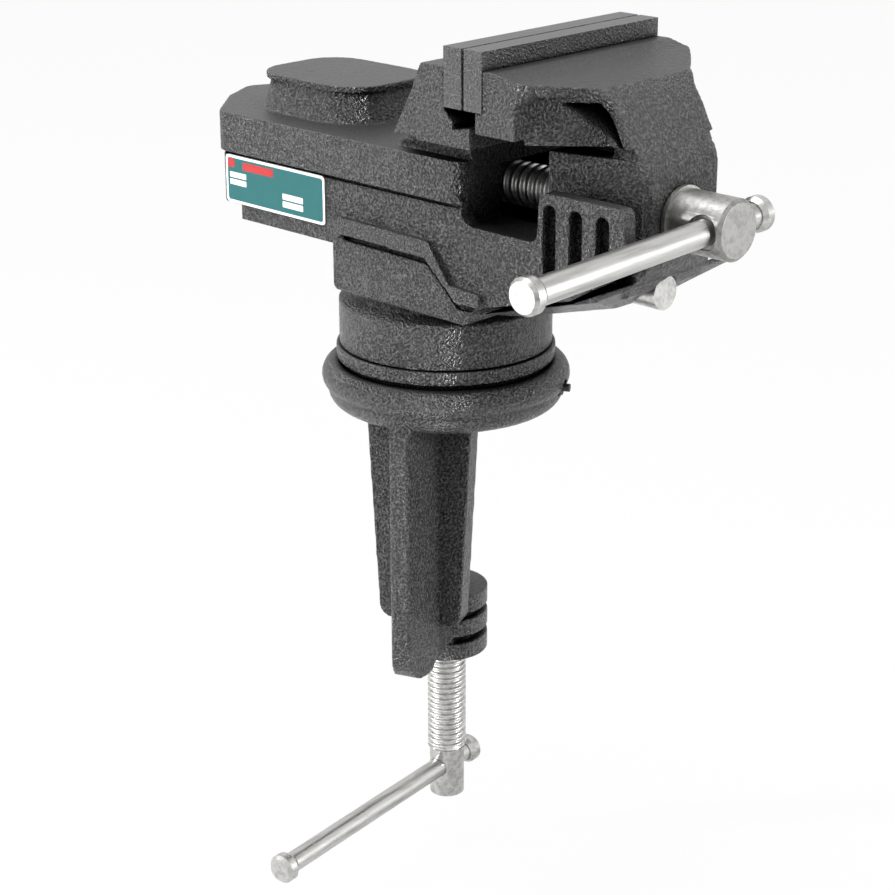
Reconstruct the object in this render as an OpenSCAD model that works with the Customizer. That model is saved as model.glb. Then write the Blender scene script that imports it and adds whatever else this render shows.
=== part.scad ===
// Swivel table vise: a small cast iron bench vise on a clamp-on foot.
// X runs along the spindle towards the handle, Y across the jaws, Z up.
// The origin is on the swivel axis, on the face that rests on the bench top.

/* [Jaws] */
// Width of the jaws
jaw_width = 60; // [58:0.5:64]
// Thickness of one jaw plate
plate_thickness = 5.6; // [5:0.1:6]
// Height of one jaw plate
plate_height = 13.4; // [12.5:0.1:14]
// Lower edge of the jaw plates above the bench top
plate_bottom_z = 82; // [81.8:0.1:83]
// Place of the closed jaw faces along the spindle
jaw_face_x = 33.9; // [33.6:0.1:34.4]
// Gap left between the closed jaw faces
jaw_gap = 0.2; // [0.1:0.05:0.5]
// How far the moving jaw opens
jaw_travel = 38; // [34:1:38]

/* [Body] */
// Half the width of the fixed body
body_half = 26; // [25:0.25:27]
// Height of the spindle axis above the bench top
spindle_z = 59; // [58.5:0.1:59.5]
// Top of the slab above the bench top
slab_top_z = 68.8; // [68:0.1:70]
// Height of the anvil above the slab
anvil_rise = 8.4; // [6:0.2:10]
// Length of the anvil along the spindle
anvil_length = 38; // [36:0.2:42]
// Width of the anvil
anvil_width = 29; // [26:0.2:31]
// Thickness of each front side wall
wall_thickness = 4.5; // [4:0.1:5]
// Top of the floor between the side walls
floor_top_z = 54.6; // [54.4:0.1:55]
// Thickness of that floor
floor_thickness = 7.8; // [7.4:0.1:8]

/* [Swivel] */
// Radius of the swivel neck
neck_r = 26.3; // [25.5:0.1:27]
// Height of the swivel seam above the bench top
seam_z = 15.7; // [15:0.1:16.5]
// Largest radius of the clamp frame's ring
ring_r = 30.8; // [29.5:0.1:32]
// Diameter of the spigot under the neck
spigot_d = 24; // [22:0.5:26]

/* [Clamp] */
// Turn of the clamp frame about the swivel axis
clamp_turn = 21.2; // [0:0.1:45]
// Half the width of the arm at its top
arm_half_top = 14.2; // [13.5:0.1:15]
// Half the width of the arm at its foot
arm_half_foot = 10.9; // [10:0.1:12]
// Distance from the swivel axis to the arm's inner face
throat_depth = 12.2; // [11.8:0.1:13]
// Top of the threaded boss below the bench face
boss_top_z = -50.5; // [-52:0.1:-50]
// Diameter of the clamp screw
clamp_screw_d = 10; // [9.6:0.1:10.4]

/* [Spindle] */
// Diameter of the spindle
spindle_d = 10.5; // [10:0.1:11]
// Diameter of the spindle's head
head_d = 14; // [13.5:0.1:14.5]
// Length of the spindle's head
head_length = 14.4; // [14:0.1:15.5]
// Diameter of the guide rod
rod_d = 8; // [7.5:0.1:8.4]
// Height of the guide rod's axis
rod_z = 41.2; // [41:0.1:41.6]

/* [Handles] */
// Diameter of the spindle's sliding bar
bar_d = 6; // [5.6:0.1:6.2]
// Diameter of the clamp screw's sliding bar
clamp_bar_d = 5; // [4.6:0.1:5.2]
// Length of each sliding bar with its ends
bar_length = 79; // [74:1:86]

/* [Hidden] */
$fn = 64;
cast_colour = "#2b2b2d";
steel_colour = "#c9c9c6";
plate_colour = "#4a4a4c";
black_steel_colour = "#1c1c1e";

// How far a cutting shape runs past the face that it cuts
cut_over = 0.5;
// Radial clearance of a turning or sliding fit
running_clearance = 0.08;
// Radial clearance round a part that only passes through
loose_clearance = 0.4;
// Gap between two castings that slide past each other
slide_gap = 0.3;
// Facets of a rounded corner in a casting's outline
corner_facets = 24;

// Rear end and front face of the slab
slab_rear_x = -71;
slab_shoulder_x = -52.6;
slab_front_x = 29.3;
// The slab's rear point: how far it is blunted, as a length and as a share of the slab's half width
slab_point_length = 6;
slab_point_share = 0.45;
slab_corner = 4;
// The lower half of the body stands in from the slab by this much
parting_step = 0.6;
// Groove left along the mould's parting line
parting_groove_height = 0.9;
parting_groove_depth = 0.9;
lower_bottom_z = 46;
keel_step_z = 42;
keel_step_x = -47;
neck_block_rear_x = -13.3;
neck_block_front_x = 31.5;
neck_block_bottom_z = 31;
channel_half = body_half - wall_thickness;
// Gap in the side walls, open under the jaws
side_gap_front_x = 51.6;
wall_front_x = 76.2;
wall_corner = 2;
wall_lean = 0.8;
// Front corner of the neck block, where the side walls' underside begins to climb
block_corner_z = 34.4;
block_corner_length = 5;
block_corner_rise = 2.2;
// The far wall drops to a low rim from here on, and ends short of the near one
far_wall_front_x = 61.6;
far_rim_front_x = 71;
far_rim_top_z = 56;
far_slot_count = 1;
wall_top_z = 66.2;
wall_rise_z = 43.3;
wall_rise_x = 61.5;
wall_nose_z = 52.7;
floor_front_x = 64.5;
// Trough in the floor, under the spindle
trough_half = 12;
trough_z = floor_top_z - 4.8;
nut_pocket_top_z = slab_top_z - 2.4;
// Slots in the side walls
slot_count = 3;
slot_pitch = 7.45;
slot_width = 3.5;
slot_depth = 3.5;
slot_first_x = 55.4;
slot_bottom_z = 48.5;
slot_step_z = 2;
slot_top_z = 63.6;
// Anvil: its rear end is upright, its flanks and front end spread downwards
anvil_rear_x = -53.6;
anvil_corner = 10;
anvil_cap = 1.6;
anvil_cap_overhang = 0.6;
anvil_draft = 3.4;
// How far the anvil's flanks run into the slab and into the cap
anvil_sink = 0.3;

// One raised band on each side of the body
side_rib_rise = 1.6;
// Its corners: place along the spindle, depth under the spindle's axis
side_rib_corners = [
    [-14.2, 12.7], [-9.3, 9.1], [20, 9.6], [26.7, 18.7], [36.4, 19.2],
    [36, 22.4], [28.9, 22.7], [19, 13.9], [-8.2, 13.3], [-10.5, 14.8]
];

// Rear jaw of the body
rear_jaw_back_x = 19.6;
rear_jaw_bevel = 1.6;
rear_jaw_bevel_height = 3;
gusset_rear_x = 10.6;
gusset_inset = 1.8;
gusset_drop = 2.4;
gusset_bend = 3.1;
gusset_bend_drop = 7;
support_half = 22;
support_rear_x = 4;
support_spread = 9;
support_drop = 4;
// How far the gussets and the support run into the jaw
support_sink = 2;
// The jaw plates stand this far above the castings that hold them
plate_stand_up = 4.5;
jaw_body_top_z = plate_bottom_z + plate_height - plate_stand_up;
// Ledge under the jaw plates, and how far it reaches in front of the closed jaw faces
ledge_thickness = 4;
ledge_drop = 4.7;
ledge_top_z = plate_bottom_z - ledge_drop;
ledge_bottom_z = ledge_top_z - ledge_thickness;
ledge_reach = 2.3;
ledge_front_x = jaw_face_x + ledge_reach;
ledge_lip = 3;
rear_plate_back_x = jaw_face_x - plate_thickness;

// Moving jaw
front_plate_back_x = jaw_face_x + jaw_gap + plate_thickness;
cheek_front_x = 49.2;
cheek_bottom_z = plate_bottom_z - 4.8;
cheek_chamfer = 2;
// The shelf draws in towards the nose over these two places
cheek_bend_x = 54.4;
cheek_bend_half = 24;
cheek_neck_x = 58.4;
cheek_neck_half = 18;
// The top of the moving jaw runs forwards as a thin shelf, down to the brow of the nose
shelf_drop = 4.1;
shelf_bottom_z = jaw_body_top_z - shelf_drop;
shelf_fillet = 2.4;
crown_rise = 0.4;
crown_front_x = 43.2;
crown_slope_x = 48;
crown_slope_z = jaw_body_top_z - 0.8;
foot_rear_x = 48.5;
foot_front_x = 71.4;
foot_half = 18;
foot_top_z = 73.4;
// Shoe of the moving jaw between the side walls, and its tongue in the trough
shoe_setback = 2;
shoe_height = 5;
tongue_height = 8;
// Nose: from its brow down to its upright front face
nose_front_x = 72;
nose_half = 13;
nose_corner = 2.4;
nose_rear_x = floor_front_x + slide_gap;
nose_face_top_z = 65;
nose_face_bottom_z = 50.5;
nose_bottom_z = 41;
chin_setback = 4.5;
chin_drop = 8.1;
brow_half = 14.4;
brow_x = 61.4;
brow_z = jaw_body_top_z - 3.3;
// Front of the nose from the brow to the front face, as shares of that depth and height
nose_curve = [
    [0, 0], [0.14, 0.08], [0.31, 0.2], [0.43, 0.29], [0.53, 0.38], [0.62, 0.46],
    [0.75, 0.56], [0.89, 0.69], [0.96, 0.81], [1, 1]
];
// Slanting wall under the shelf, from the cheek's ends to the nose
web_rear_x = 46;
web_rear_half = 26;
web_front_x = 63;
web_bottom_z = 75.8;
// The wall stands over the foot on a narrower web
web_half = 9;
web_core_half = 4;
// Scoop out of the wall's upper front on each side: one place on its edge, and how it lies
scoop_x = 55.3;
scoop_half = 21;
scoop_drop = 2.5;
scoop_turn = 33.2;
scoop_dip = 34.2;
scoop_lean = 25;
scoop_reach = 20;
// Rim that the nose keeps round the scoop, and its height under the shelf
scoop_rim = 1.8;
scoop_rim_height = 1.5;
// Keel under the side walls: its underside climbs forwards, and its sides lean in towards it
keel_rear_x = neck_block_front_x + 1.5;
keel_front_x = 69.4;
keel_middle_x = wall_rise_x;
keel_core_half = 15;
keel_top_half = 24.5;
keel_bottom_half = 9;
keel_rear_z = 30.2;
keel_rear_top_z = 33.8;
keel_middle_z = 38.2;
keel_middle_top_z = wall_rise_z - 0.6;
keel_front_z = 45;
keel_front_top_z = 46.4;
keel_edge_rise = 4;
// The core's underside stays this far above the keel's
keel_skin = 2;
keel_section_height = 30;
keel_slope = atan((keel_middle_z - keel_rear_z) / (keel_middle_x - keel_rear_x));

// Spindle
nut_rear_x = -10;
nut_front_x = 9;
// Length of thread still in the nut when the jaw is fully open
nut_engagement = 10;
spindle_tip_x = nut_rear_x + nut_engagement - jaw_travel;
nut_d = 16;
nut_pin_d = 3;
shank_d = spindle_d - 0.5;
washer_thickness = 1;
spindle_washer_d = head_d + 1.2;
head_x = nose_front_x + washer_thickness;
head_bevel = 0.8;
ring_width = 2.3;
ring_x = foot_rear_x - ring_width - 0.1;
ring_d = 16;
bar_hole_x = 82.4;
bar_mouth_d = bar_d + 2;
bar_mouth_depth = 1.5;
// The bar hangs a little out of level in its hole
bar_tilt = 1.8;
bar_far_reach = 15;
bar_end_grow = 2.2;
bar_end_length = 4;
bar_stub_length = 2.6;
clamp_bar_far_reach = 11;
clamp_bar_turn = 97.2;
clamp_bar_z = -102.5;

// Guide rod
rod_front_x = 68;
rod_rear_x = neck_block_rear_x + 0.5;
rod_pin_x = 56;
rod_pin_d = 3;

// Swivel
swivel_plate_d = 31;
swivel_plate_thickness = 3;
swivel_plate_z = 0.5;
spigot_bottom_z = swivel_plate_z + swivel_plate_thickness;
counterbore_top_z = spigot_bottom_z + 0.1;
swivel_bolt_d = 8;
swivel_bolt_head_d = 14;
swivel_bolt_top_z = 32;
hex_key_d = 5.8;
friction_ring_thickness = 0.6;
friction_ring_in_r = 14;
friction_ring_out_r = 24;
// Two rolls round the ring's rim: the upper one is the fuller
upper_roll_r = 3.8;
lower_roll_r = 3.9;
lower_roll_inset = 1.5;
lip_r = 27.1;
// Cove between the neck and the block over it
cove_bottom_z = 26.8;
cove_rise = 1.8;
cove_r = 22.6;
lip_bottom_z = 12.2;
lock_screw_d = 4;
lock_screw_z = 5.9;
lock_screw_turn = 26;
lock_screw_end_r = ring_r - 0.8;
lock_nub_d = 2;
lock_nub_end_r = ring_r + 1;

// Clamp frame
flange_front = 17.5;
flange_bottom_z = -54.2;
rib_nose = 30;
rib_nose_half = 2.4;
rib_root_half = 5.2;
rib_bottom_z = -66;
rib_top_setback = 4.5;
arm_top_z = 6;
arm_corner = 3.4;
boss_r = 10.6;
boss_ring_height = 4.6;
boss_groove = 1.8;
boss_groove_depth = 2.6;
boss_rings = 3;
// Web between the arm's foot and the boss
boss_web_height = 12;
boss_web_end = 6;
boss_bottom_z = boss_top_z - boss_rings * boss_ring_height - (boss_rings - 1) * boss_groove;
// Clamp screw and its pad
clamp_hub_d = 9;
clamp_hub_top_z = -97;
clamp_hub_bottom_z = -110.6;
pad_d = 13;
pad_top_z = -30;
pad_thickness = 5;
pad_tenon_d = 6;
pad_tenon_length = 4.2;
pad_washer_thickness = 1;
shoulder_z = pad_top_z - pad_thickness - pad_washer_thickness;

// Screws of the jaw plates
plate_screw_d = 4;
plate_screw_head_d = 8;
plate_screw_head_height = 2.2;
plate_screw_length = 12;
plate_screw_y = jaw_width * 0.3;
plate_screw_z = plate_bottom_z + 4.8;

// An outline in X and Z, drawn across the vise to the given half width
module across(half) {
    rotate([90, 0, 0]) translate([0, 0, -half]) linear_extrude(2 * half) children();
}

// A round solid along X, from one place to another
module rod_x(d, from_x, to_x, z) {
    translate([from_x, 0, z]) rotate([0, 90, 0]) cylinder(d = d, h = to_x - from_x);
}

// Rounds the outer corners of an outline
module rounded(r) {
    offset(r = r, $fn = corner_facets) offset(delta = -r) children();
}

// Rounds the outer and the inner corners of an outline
module softened(r) {
    offset(r = -r, $fn = corner_facets) offset(delta = r) rounded(r) children();
}

// Plan of the slab, drawn in by inset: its rear end is a blunt rounded point
module slab_plan(inset) {
    side = body_half - inset;
    rear_x = slab_rear_x + inset;
    rounded(slab_corner) polygon([
        [slab_front_x, -side], [slab_shoulder_x + inset, -side],
        [rear_x + slab_point_length, -side * slab_point_share], [rear_x, 0],
        [rear_x + slab_point_length, side * slab_point_share],
        [slab_shoulder_x + inset, side], [slab_front_x, side]
    ]);
}

// Side view of the lower front body with its side walls
module wall_outline() {
    softened(wall_corner) polygon([
        [neck_block_rear_x, spindle_z + wall_corner], [neck_block_rear_x, neck_block_bottom_z],
        [neck_block_front_x, neck_block_bottom_z], [neck_block_front_x, block_corner_z],
        [neck_block_front_x + block_corner_length, block_corner_z + block_corner_rise],
        [wall_rise_x, wall_rise_z], [wall_front_x + wall_lean, wall_nose_z],
        [wall_front_x, wall_top_z], [side_gap_front_x + wall_lean, wall_top_z],
        [side_gap_front_x, floor_top_z], [neck_block_front_x, floor_top_z],
        [slab_front_x, floor_top_z + wall_corner], [slab_front_x, spindle_z + wall_corner]
    ]);
}

// Side view of the rear jaw and its ledge
module rear_jaw_outline() {
    lip_x = jaw_face_x - ledge_lip;
    polygon([
        [rear_jaw_back_x, ledge_bottom_z], [ledge_front_x, ledge_bottom_z], [ledge_front_x, ledge_top_z + 1],
        [lip_x, ledge_top_z], [lip_x, ledge_top_z + 1.8],
        [rear_plate_back_x, plate_bottom_z - cut_over], [rear_plate_back_x, jaw_body_top_z],
        [rear_jaw_back_x + rear_jaw_bevel, jaw_body_top_z],
        [rear_jaw_back_x, jaw_body_top_z - rear_jaw_bevel_height]
    ]);
}

// Side view of the gusset behind the rear jaw
module gusset_outline() {
    polygon([
        [gusset_rear_x, ledge_bottom_z], [rear_jaw_back_x + support_sink, ledge_bottom_z],
        [rear_jaw_back_x + support_sink, jaw_body_top_z - gusset_drop],
        [rear_jaw_back_x - gusset_bend / 2, jaw_body_top_z - rear_jaw_bevel_height],
        [rear_jaw_back_x - gusset_bend, jaw_body_top_z - gusset_bend_drop]
    ]);
}

// Side view of the slope that holds the rear jaw up from behind
module rear_jaw_support_outline() {
    bottom_z = slab_top_z - 1;
    polygon([
        [support_rear_x, bottom_z], [slab_front_x, bottom_z], [slab_front_x, ledge_bottom_z + 1],
        [rear_jaw_back_x + support_sink, ledge_top_z + support_sink],
        [rear_jaw_back_x + support_sink, jaw_body_top_z - support_drop],
        [rear_jaw_back_x - 1.5, jaw_body_top_z - gusset_bend_drop],
        [rear_jaw_back_x - support_spread, slab_top_z + support_drop]
    ]);
}

// One raised rib on each side of the body, following the shoulder of the neck
module side_rib_outline() {
    rounded(0.8) polygon([for (corner = side_rib_corners) [corner[0], spindle_z - corner[1]]]);
}

module wall_slots(count) {
    for (i = [0 : count - 1])
        translate([slot_first_x + i * slot_pitch, 0, 0]) {
            low_z = slot_bottom_z + i * slot_step_z;
            high_z = slot_top_z - slot_width / 2;
            translate([-slot_width / 2, 0, low_z]) cube([slot_width, slot_depth, high_z - low_z]);
            for (end_z = [low_z, high_z])
                translate([0, slot_depth, end_z]) rotate([90, 0, 0]) cylinder(d = slot_width, h = slot_depth);
        }
}

// Plan of the anvil, from its rear end on
module anvil_plan(length, width, corner) {
    rounded(corner) translate([0, -width / 2]) square([length, width]);
}

module anvil() {
    cap_bottom = anvil_rise - anvil_cap;
    foot_length = anvil_length - anvil_cap_overhang + anvil_draft;
    foot_width = anvil_width + 2 * anvil_draft;
    translate([anvil_rear_x, 0, slab_top_z]) {
        translate([0, 0, cap_bottom]) linear_extrude(anvil_cap)
            anvil_plan(anvil_length, anvil_width, anvil_corner);
        translate([anvil_cap_overhang, 0, -anvil_sink])
            linear_extrude(cap_bottom + 2 * anvil_sink, slices = 1, scale = [
                (anvil_length - 2 * anvil_cap_overhang) / foot_length,
                (anvil_width - 2 * anvil_cap_overhang) / foot_width
            ]) anvil_plan(foot_length, foot_width, anvil_corner + anvil_draft);
    }
}

// The two holes behind a jaw plate, drilled into a casting from its jaw face
module plate_screw_holes(face_x, turn) {
    for (side = [-1, 1])
        translate([face_x, side * plate_screw_y, plate_screw_z]) rotate([0, turn, 0])
            translate([0, 0, -cut_over])
                cylinder(d = plate_screw_d, h = plate_screw_length - plate_thickness + 2 * cut_over);
}

// Places its children at both screws of a jaw plate, along the way that they point
module at_plate_screws(face_x, turn) {
    for (side = [-1, 1])
        translate([face_x, side * plate_screw_y, plate_screw_z]) rotate([0, turn, 0]) children();
}

// The pin that holds the nut, from the nut out to the given place in the far side of the body
module nut_pin_shape(end_y) {
    start_y = nut_d / 2 - 1.8;
    translate([0, start_y, spindle_z]) rotate([-90, 0, 0]) cylinder(d = nut_pin_d, h = end_y - start_y);
}

// Half section of the neck, with the cove above it
module neck_outline() {
    polygon([
        [0, seam_z], [neck_r, seam_z], [neck_r, cove_bottom_z], [cove_r, cove_bottom_z + cove_rise],
        [cove_r, neck_block_bottom_z + 4], [0, neck_block_bottom_z + 4]
    ]);
}

// The near side's groove under the parting line, in front of the slab's own
module parting_groove() {
    rear_x = neck_block_rear_x - 2;
    translate([rear_x, -body_half - 1, spindle_z - parting_groove_height])
        cube([slab_front_x + 0.6 - rear_x, 1 + parting_step + parting_groove_depth, parting_groove_height]);
}

// What the far wall lacks: all but a low rim at its front
module far_wall_cut() {
    far_y = channel_half - cut_over;
    translate([far_wall_front_x, far_y, far_rim_top_z])
        cube([wall_front_x, wall_thickness + 4, wall_top_z]);
    translate([far_rim_front_x, far_y, neck_block_bottom_z])
        cube([wall_front_x, wall_thickness + 4, wall_top_z]);
}

module body_casting() color(cast_colour) difference() {
    union() {
        translate([0, 0, spindle_z]) linear_extrude(slab_top_z - spindle_z) slab_plan(0);
        translate([0, 0, lower_bottom_z]) linear_extrude(spindle_z - parting_groove_height - lower_bottom_z)
            slab_plan(parting_step);
        translate([0, 0, spindle_z - parting_groove_height - 1]) linear_extrude(parting_groove_height + 2)
            slab_plan(parting_step + parting_groove_depth);
        translate([keel_step_x, -body_half + 1.5, keel_step_z])
            cube([neck_block_front_x - keel_step_x, 2 * body_half - 3, lower_bottom_z - keel_step_z + 1]);
        across(body_half - parting_step) wall_outline();
        across(body_half - parting_step + side_rib_rise) side_rib_outline();
        rotate_extrude() neck_outline();
        translate([0, 0, spigot_bottom_z]) cylinder(d = spigot_d, h = seam_z);
        anvil();
        across(jaw_width / 2) rear_jaw_outline();
        across(jaw_width / 2 - gusset_inset) gusset_outline();
        across(support_half) rear_jaw_support_outline();
    }
    translate([0, -body_half + parting_step - cut_over, 0]) wall_slots(slot_count);
    mirror([0, 1, 0]) translate([0, -body_half + parting_step - cut_over, 0]) wall_slots(far_slot_count);
    far_wall_cut();
    for (side = [0, 1])
        mirror([0, side, 0]) parting_groove();
    plate_screw_holes(rear_plate_back_x, -90);
    // Channel over the floor, the trough in the floor and the pocket behind them
    translate([slab_front_x, -channel_half, floor_top_z])
        cube([wall_front_x - slab_front_x + 4, 2 * channel_half, ledge_bottom_z - floor_top_z]);
    translate([nut_front_x, -trough_half, trough_z])
        cube([wall_front_x - nut_front_x + 4, 2 * trough_half, nut_pocket_top_z - trough_z]);
    // Space under the floor and in front of it, for the moving jaw's keel
    translate([neck_block_front_x, -channel_half, neck_block_bottom_z - 1])
        cube([wall_front_x - neck_block_front_x + 4, 2 * channel_half,
              floor_top_z - floor_thickness - neck_block_bottom_z + 1]);
    translate([floor_front_x, -channel_half, neck_block_bottom_z])
        cube([wall_front_x - floor_front_x + 4, 2 * channel_half, wall_top_z]);
    // Bores for the nut, the spindle, the guide rod, the nut's pin and the swivel bolt
    rod_x(nut_d, nut_rear_x, nut_front_x + cut_over, spindle_z);
    rod_x(spindle_d + 2 * loose_clearance, spindle_tip_x - 3, nut_rear_x + cut_over, spindle_z);
    rod_x(rod_d + 2 * running_clearance, neck_block_rear_x - 1, neck_block_front_x + 1, rod_z);
    nut_pin_shape(body_half + 1);
    translate([0, 0, spigot_bottom_z - cut_over])
        cylinder(d = swivel_bolt_d, h = swivel_bolt_top_z - spigot_bottom_z + 1);
    // Groove round the seam, for the friction ring
    translate([0, 0, seam_z - cut_over]) difference() {
        cylinder(r = friction_ring_out_r, h = friction_ring_thickness / 2 + cut_over);
        translate([0, 0, -1]) cylinder(r = friction_ring_in_r, h = 3);
    }
}

// Side view of the moving jaw's cheek
module cheek_outline() {
    polygon([
        [front_plate_back_x - cheek_chamfer - 0.2, cheek_bottom_z],
        [front_plate_back_x - cheek_chamfer, plate_bottom_z - 0.1],
        [front_plate_back_x, plate_bottom_z - 0.1], [front_plate_back_x, jaw_body_top_z + crown_rise],
        [crown_front_x, jaw_body_top_z + crown_rise], [crown_slope_x, crown_slope_z],
        [brow_x - 0.4, brow_z + 0.6], [brow_x + 0.8, shelf_bottom_z - 0.6],
        [cheek_front_x + shelf_fillet, shelf_bottom_z], [cheek_front_x, shelf_bottom_z - shelf_fillet],
        [cheek_front_x, cheek_bottom_z]
    ]);
}

// Plan of the cheek, drawn in towards the nose
module cheek_plan() {
    half = jaw_width / 2;
    front_x = brow_x + 4;
    rounded(1) polygon([
        [jaw_face_x, -half], [cheek_front_x, -half], [cheek_bend_x, -cheek_bend_half],
        [cheek_neck_x, -cheek_neck_half], [brow_x, -brow_half],
        [front_x, -brow_half], [front_x, brow_half], [brow_x, brow_half],
        [cheek_neck_x, cheek_neck_half], [cheek_bend_x, cheek_bend_half],
        [cheek_front_x, half], [jaw_face_x, half]
    ]);
}

// Side view of the nose with its foot, down to the keel
module nose_outline() {
    depth = nose_front_x - brow_x;
    height = brow_z - nose_face_top_z;
    rounded(1.5) polygon(concat(
        [
            [foot_rear_x, floor_top_z + slide_gap], [foot_rear_x, cheek_bottom_z],
            [web_rear_x, cheek_bottom_z + 2], [web_rear_x, shelf_bottom_z + 2],
            [brow_x - 1.4, brow_z + 0.4]
        ],
        [for (share = nose_curve) [brow_x + share[0] * depth, brow_z - share[1] * height]],
        [
            [nose_front_x, nose_face_bottom_z],
            [nose_front_x - chin_setback / 4, nose_face_bottom_z - chin_drop / 3],
            [nose_front_x - chin_setback, nose_face_bottom_z - chin_drop], [nose_rear_x, nose_bottom_z],
            [nose_rear_x, floor_top_z + slide_gap]
        ]
    ));
}

// Plan of the nose under the wall, with its front corners taken off
module nose_plan() {
    corner_x = nose_front_x - nose_corner;
    polygon([
        [web_rear_x - 1, -nose_half], [corner_x, -nose_half], [nose_front_x, -nose_half + nose_corner],
        [nose_front_x, nose_half - nose_corner], [corner_x, nose_half], [web_rear_x - 1, nose_half]
    ]);
}

// Plan of the brow with the slanting walls
module brow_plan() {
    corner_x = nose_front_x - nose_corner;
    polygon([
        [web_rear_x - 1, -web_rear_half], [cheek_front_x, -web_rear_half], [web_front_x, -brow_half],
        [corner_x, -brow_half], [nose_front_x, -brow_half + nose_corner],
        [nose_front_x, brow_half - nose_corner], [corner_x, brow_half], [web_front_x, brow_half],
        [cheek_front_x, web_rear_half], [web_rear_x - 1, web_rear_half]
    ]);
}

// The scoop on the near side
module scoop() {
    intersection() {
        translate([0, -web_core_half, 0]) rotate([90, 0, 0]) linear_extrude(web_rear_half) intersection() {
            offset(delta = -scoop_rim) nose_outline();
            translate([cheek_front_x - 1, foot_top_z])
                square([nose_front_x - cheek_front_x, shelf_bottom_z - scoop_rim_height - foot_top_z]);
        }
        translate([scoop_x, -scoop_half, shelf_bottom_z - scoop_drop])
            rotate([0, scoop_dip, scoop_turn]) rotate([scoop_lean, 0, 0])
                translate([-scoop_reach, -scoop_reach, 0])
                    cube([3 * scoop_reach, 2 * scoop_reach, scoop_reach]);
    }
}

module nose() {
    difference() {
        intersection() {
            across(web_rear_half + 1) nose_outline();
            union() {
                translate([0, 0, web_bottom_z]) linear_extrude(brow_z + 2 - web_bottom_z) brow_plan();
                translate([0, 0, keel_rear_z]) linear_extrude(web_bottom_z + 1 - keel_rear_z) nose_plan();
            }
        }
        for (side = [0, 1])
            mirror([0, side, 0]) {
                scoop();
                translate([web_rear_x - 2, web_half, foot_top_z])
                    cube([nose_rear_x - web_rear_x, nose_half, web_bottom_z - foot_top_z]);
            }
    }
}

module foot_plan() {
    polygon([
        [foot_rear_x, -foot_half], [foot_front_x, -nose_half], [foot_front_x, nose_half],
        [foot_rear_x, foot_half]
    ]);
}

// Side view of the keel
module keel_outline() {
    polygon([
        [keel_rear_x, keel_rear_z], [keel_middle_x, keel_middle_z], [keel_front_x, keel_front_z],
        [keel_front_x, keel_front_top_z], [keel_middle_x, keel_middle_top_z], [keel_rear_x, keel_rear_top_z]
    ]);
}

// Side view of the keel's core, which lies inside the keel below and stands up to the floor
module keel_core_outline() {
    core_top_z = floor_top_z - floor_thickness - slide_gap;
    polygon([
        [keel_rear_x, keel_rear_z + keel_skin], [keel_middle_x, keel_middle_z + keel_skin],
        [nose_rear_x + 1, keel_front_z - 1],
        [nose_rear_x + 1, core_top_z], [keel_rear_x, core_top_z]
    ]);
}

// Section of the keel, square to its underside
module keel_section() {
    polygon([
        [-keel_bottom_half, -1], [keel_bottom_half, -1], [keel_bottom_half, 0],
        [keel_top_half, keel_edge_rise], [keel_top_half, keel_section_height],
        [-keel_top_half, keel_section_height], [-keel_top_half, keel_edge_rise], [-keel_bottom_half, 0]
    ]);
}

module moving_jaw_casting() color(cast_colour) difference() {
    union() {
        intersection() {
            across(jaw_width / 2 + 1) cheek_outline();
            translate([0, 0, cheek_bottom_z - 1]) linear_extrude(plate_height + shoe_height) cheek_plan();
        }
        nose();
        intersection() {
            across(foot_half + 1) nose_outline();
            translate([0, 0, floor_top_z])
                linear_extrude(foot_top_z - floor_top_z) foot_plan();
        }
        // Shoe that runs between the side walls, and the part of it in the trough
        translate([foot_rear_x + shoe_setback, -channel_half + slide_gap, floor_top_z + slide_gap])
            cube([nose_rear_x - foot_rear_x, 2 * (channel_half - slide_gap), shoe_height]);
        translate([foot_rear_x, -trough_half + slide_gap, trough_z + slide_gap])
            cube([nose_rear_x - foot_rear_x + shoe_setback, 2 * (trough_half - slide_gap), tongue_height]);
        keel();
    }
    plate_screw_holes(front_plate_back_x, 90);
    rod_x(shank_d + 2 * running_clearance, foot_rear_x - cut_over, nose_front_x + cut_over, spindle_z);
    rod_x(rod_d, keel_rear_x - 1, nose_front_x + 4, rod_z);
    translate([rod_pin_x, 0, keel_rear_z - 4]) cylinder(d = rod_pin_d, h = rod_z - keel_rear_z + 8);
}

// The keel under the side walls, and its core that fills the space under the floor
module keel() {
    intersection() {
        across(keel_top_half + 1) keel_outline();
        translate([keel_rear_x, 0, keel_rear_z]) rotate([0, -keel_slope, 0]) translate([-keel_edge_rise, 0, 0])
            rotate([90, 0, 90]) linear_extrude(2 * (keel_front_x - keel_rear_x)) keel_section();
    }
    across(keel_core_half) keel_core_outline();
}

module jaw_plate(back_x, front_x, mouth_x, turn) {
    difference() {
        translate([back_x, -jaw_width / 2, plate_bottom_z])
            cube([front_x - back_x, jaw_width, plate_height]);
        at_plate_screws(mouth_x, turn) {
            translate([0, 0, -cut_over])
                cylinder(d = plate_screw_d + loose_clearance, h = plate_thickness + 2 * cut_over);
            translate([0, 0, -cut_over])
                cylinder(d = plate_screw_head_d, h = plate_screw_head_height + cut_over);
        }
    }
}

module plate_screws(mouth_x, turn) {
    at_plate_screws(mouth_x, turn) difference() {
        union() {
            translate([0, 0, 0.3]) cylinder(d = plate_screw_head_d - 0.3, h = plate_screw_head_height - 0.3);
            translate([0, 0, 1]) cylinder(d = plate_screw_d, h = plate_screw_length - 1);
        }
        translate([0, 0, -1]) cylinder(d = 3, h = 2.6, $fn = 6);
    }
}

module fixed_jaw_plate() color(plate_colour) jaw_plate(rear_plate_back_x, jaw_face_x, jaw_face_x, -90);

module moving_jaw_plate() color(plate_colour)
    jaw_plate(jaw_face_x + jaw_gap, front_plate_back_x, jaw_face_x + jaw_gap, 90);

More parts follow.
